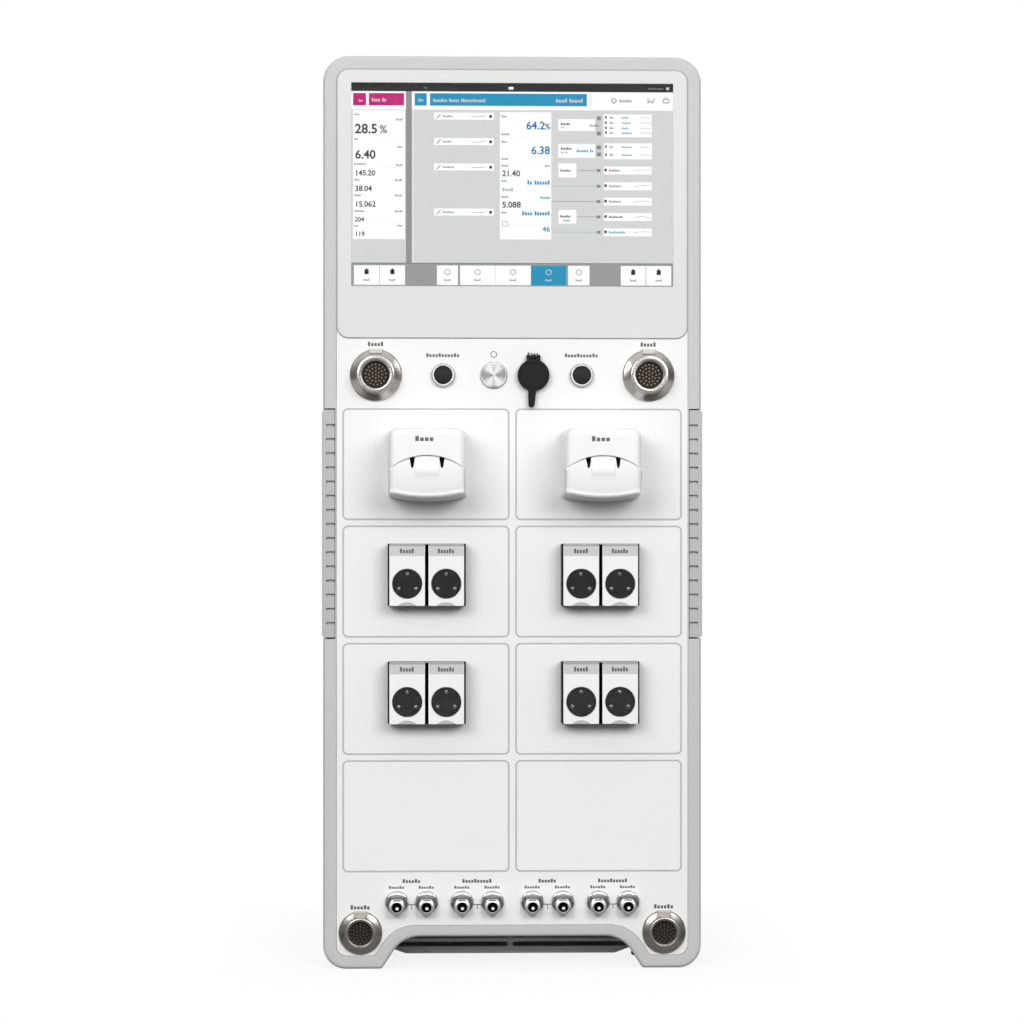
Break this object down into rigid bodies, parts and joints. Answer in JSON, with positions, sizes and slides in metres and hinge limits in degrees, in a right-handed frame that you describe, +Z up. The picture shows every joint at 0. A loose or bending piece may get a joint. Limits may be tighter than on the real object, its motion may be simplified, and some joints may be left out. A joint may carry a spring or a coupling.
{
  "type": "bioreactor control tower",
  "caption": "Upright bench cabinet with a touch screen, peristaltic pumps, sensor sockets and hose couplings for driving culture vessels.",
  "frame": {"origin": "centre of the bounding box's bottom face, on the bench", "axes": "+Z up, -Y out of the front with the screen, +X to the right as seen from the front"},
  "size_m": [0.346, 0.457, 0.83],
  "materials": {
    "white_paint": "satin powder coat",
    "rim_paint": "satin powder coat",
    "pan_paint": "satin powder coat",
    "bezel_plastic": "smooth satin moulding",
    "grip_plastic": "fine matt",
    "screen_glass": "polished",
    "screen_panel": "lit picture",
    "electronics": "satin anodised",
    "zinc_steel": "zinc plated",
    "motor_steel": "turned",
    "nickel": "satin nickel plate",
    "ring_steel": "fine turned",
    "coupling_chrome": "polished",
    "insert_plastic": "matt",
    "black_plastic": "fine matt",
    "rotor_plastic": "smooth",
    "smoked_window": "polished",
    "pump_plastic": "smooth satin moulding",
    "cap_rubber": "smooth",
    "foot_rubber": "moulded"
  },
  "bodies": {
    "cabinet": {"front_frame": "rim_paint", "front_panel": "white_paint", "display_bezel": "bezel_plastic", "touch_glass": "screen_glass", "lcd_panel": "screen_panel", "control_computer": "electronics", "cabinet_cover": "rim_paint", "rear_panel": "rim_paint", "base_pan": "pan_paint", "inner_chassis": "zinc_steel", "side_grip_left": "grip_plastic", "side_grip_right": "grip_plastic", "rubber_feet": "foot_rubber", "rear_screws": "zinc_steel", "feed_bay_plates": "white_paint", "twin_bay_plates": "white_paint", "blank_bay_plates": "white_paint", "feed_base_left": "pump_plastic", "feed_base_right": "pump_plastic", "twin_faces": "pump_plastic", "roller_windows": "smoked_window", "pump_motors": "motor_steel", "socket_shells": "nickel", "temperature_rings": "ring_steel", "socket_inserts": "insert_plastic", "button_ring": "ring_steel", "usb_socket": "insert_plastic", "coupling_bodies": "coupling_chrome", "power_supply": "electronics", "gas_module": "electronics", "gas_inlets": "nickel", "mains_inlet": "black_plastic", "fan_frame": "black_plastic", "twin_body_1": "black_plastic", "twin_body_2": "black_plastic", "twin_body_3": "black_plastic", "twin_body_4": "black_plastic"},
    "power_button": {"power_button": "ring_steel"},
    "usb_cap": {"usb_cap": "cap_rubber"},
    "feed_lid_left": {"feed_lid_left": "pump_plastic"},
    "feed_lid_right": {"feed_lid_right": "pump_plastic"},
    "feed_rotor_left": {"feed_rotor_left": "rotor_plastic"},
    "feed_rotor_right": {"feed_rotor_right": "rotor_plastic"},
    "twin_rotor_1": {"twin_rotor_1": "rotor_plastic"},
    "twin_rotor_2": {"twin_rotor_2": "rotor_plastic"},
    "twin_rotor_3": {"twin_rotor_3": "rotor_plastic"},
    "twin_rotor_4": {"twin_rotor_4": "rotor_plastic"},
    "twin_rotor_5": {"twin_rotor_5": "rotor_plastic"},
    "twin_rotor_6": {"twin_rotor_6": "rotor_plastic"},
    "twin_rotor_7": {"twin_rotor_7": "rotor_plastic"},
    "twin_rotor_8": {"twin_rotor_8": "rotor_plastic"},
    "coupling_latch_1": {"coupling_latch_1": "coupling_chrome"},
    "coupling_latch_2": {"coupling_latch_2": "coupling_chrome"},
    "coupling_latch_3": {"coupling_latch_3": "coupling_chrome"},
    "coupling_latch_4": {"coupling_latch_4": "coupling_chrome"},
    "coupling_latch_5": {"coupling_latch_5": "coupling_chrome"},
    "coupling_latch_6": {"coupling_latch_6": "coupling_chrome"},
    "coupling_latch_7": {"coupling_latch_7": "coupling_chrome"},
    "coupling_latch_8": {"coupling_latch_8": "coupling_chrome"},
    "fan_rotor": {"fan_rotor": "black_plastic"}
  },
  "joints": [
    {"name": "power_press", "type": "slide", "parent": "cabinet", "child": "power_button", "axis": [0, 1, 0], "range_m": [0, 0.002], "stiffness_N_per_m": 700, "springref_m": -0.003},
    {"name": "usb_cap_hinge", "type": "hinge", "parent": "cabinet", "child": "usb_cap", "pos_m": [0.019, -0.1709, 0.5562], "axis": [-1, 0, 0], "range_deg": [0, 120]},
    {"name": "feed_lid_hinge_left", "type": "hinge", "parent": "cabinet", "child": "feed_lid_left", "pos_m": [-0.0773, -0.185, 0.486], "axis": [-1, 0, 0], "range_deg": [0, 90]},
    {"name": "feed_lid_hinge_right", "type": "hinge", "parent": "cabinet", "child": "feed_lid_right", "pos_m": [0.0797, -0.185, 0.486], "axis": [-1, 0, 0], "range_deg": [0, 90]},
    {"name": "feed_spin_left", "type": "hinge", "parent": "cabinet", "child": "feed_rotor_left", "pos_m": [-0.0773, -0.2015, 0.455], "axis": [0, 1, 0], "continuous": true},
    {"name": "feed_spin_right", "type": "hinge", "parent": "cabinet", "child": "feed_rotor_right", "pos_m": [0.0797, -0.2015, 0.455], "axis": [0, 1, 0], "continuous": true},
    {"name": "twin_spin_1", "type": "hinge", "parent": "cabinet", "child": "twin_rotor_1", "pos_m": [-0.0954, -0.1785, 0.3503], "axis": [0, 1, 0], "continuous": true},
    {"name": "twin_spin_2", "type": "hinge", "parent": "cabinet", "child": "twin_rotor_2", "pos_m": [-0.0602, -0.1785, 0.3503], "axis": [0, 1, 0], "continuous": true},
    {"name": "twin_spin_3", "type": "hinge", "parent": "cabinet", "child": "twin_rotor_3", "pos_m": [0.0616, -0.1785, 0.3503], "axis": [0, 1, 0], "continuous": true},
    {"name": "twin_spin_4", "type": "hinge", "parent": "cabinet", "child": "twin_rotor_4", "pos_m": [0.0968, -0.1785, 0.3503], "axis": [0, 1, 0], "continuous": true},
    {"name": "twin_spin_5", "type": "hinge", "parent": "cabinet", "child": "twin_rotor_5", "pos_m": [-0.0954, -0.1785, 0.2437], "axis": [0, 1, 0], "continuous": true},
    {"name": "twin_spin_6", "type": "hinge", "parent": "cabinet", "child": "twin_rotor_6", "pos_m": [-0.0602, -0.1785, 0.2437], "axis": [0, 1, 0], "continuous": true},
    {"name": "twin_spin_7", "type": "hinge", "parent": "cabinet", "child": "twin_rotor_7", "pos_m": [0.0616, -0.1785, 0.2437], "axis": [0, 1, 0], "continuous": true},
    {"name": "twin_spin_8", "type": "hinge", "parent": "cabinet", "child": "twin_rotor_8", "pos_m": [0.0968, -0.1785, 0.2437], "axis": [0, 1, 0], "continuous": true},
    {"name": "latch_press_1", "type": "slide", "parent": "cabinet", "child": "coupling_latch_1", "axis": [0, 0, -1], "range_m": [0, 0.0024], "stiffness_N_per_m": 600, "springref_m": -0.002},
    {"name": "latch_press_2", "type": "slide", "parent": "cabinet", "child": "coupling_latch_2", "axis": [0, 0, -1], "range_m": [0, 0.0024], "stiffness_N_per_m": 600, "springref_m": -0.002},
    {"name": "latch_press_3", "type": "slide", "parent": "cabinet", "child": "coupling_latch_3", "axis": [0, 0, -1], "range_m": [0, 0.0024], "stiffness_N_per_m": 600, "springref_m": -0.002},
    {"name": "latch_press_4", "type": "slide", "parent": "cabinet", "child": "coupling_latch_4", "axis": [0, 0, -1], "range_m": [0, 0.0024], "stiffness_N_per_m": 600, "springref_m": -0.002},
    {"name": "latch_press_5", "type": "slide", "parent": "cabinet", "child": "coupling_latch_5", "axis": [0, 0, -1], "range_m": [0, 0.0024], "stiffness_N_per_m": 600, "springref_m": -0.002},
    {"name": "latch_press_6", "type": "slide", "parent": "cabinet", "child": "coupling_latch_6", "axis": [0, 0, -1], "range_m": [0, 0.0024], "stiffness_N_per_m": 600, "springref_m": -0.002},
    {"name": "latch_press_7", "type": "slide", "parent": "cabinet", "child": "coupling_latch_7", "axis": [0, 0, -1], "range_m": [0, 0.0024], "stiffness_N_per_m": 600, "springref_m": -0.002},
    {"name": "latch_press_8", "type": "slide", "parent": "cabinet", "child": "coupling_latch_8", "axis": [0, 0, -1], "range_m": [0, 0.0024], "stiffness_N_per_m": 600, "springref_m": -0.002},
    {"name": "fan_spin", "type": "hinge", "parent": "cabinet", "child": "fan_rotor", "pos_m": [0, 0.1975, 0.64], "axis": [0, 1, 0], "continuous": true}
  ]
}
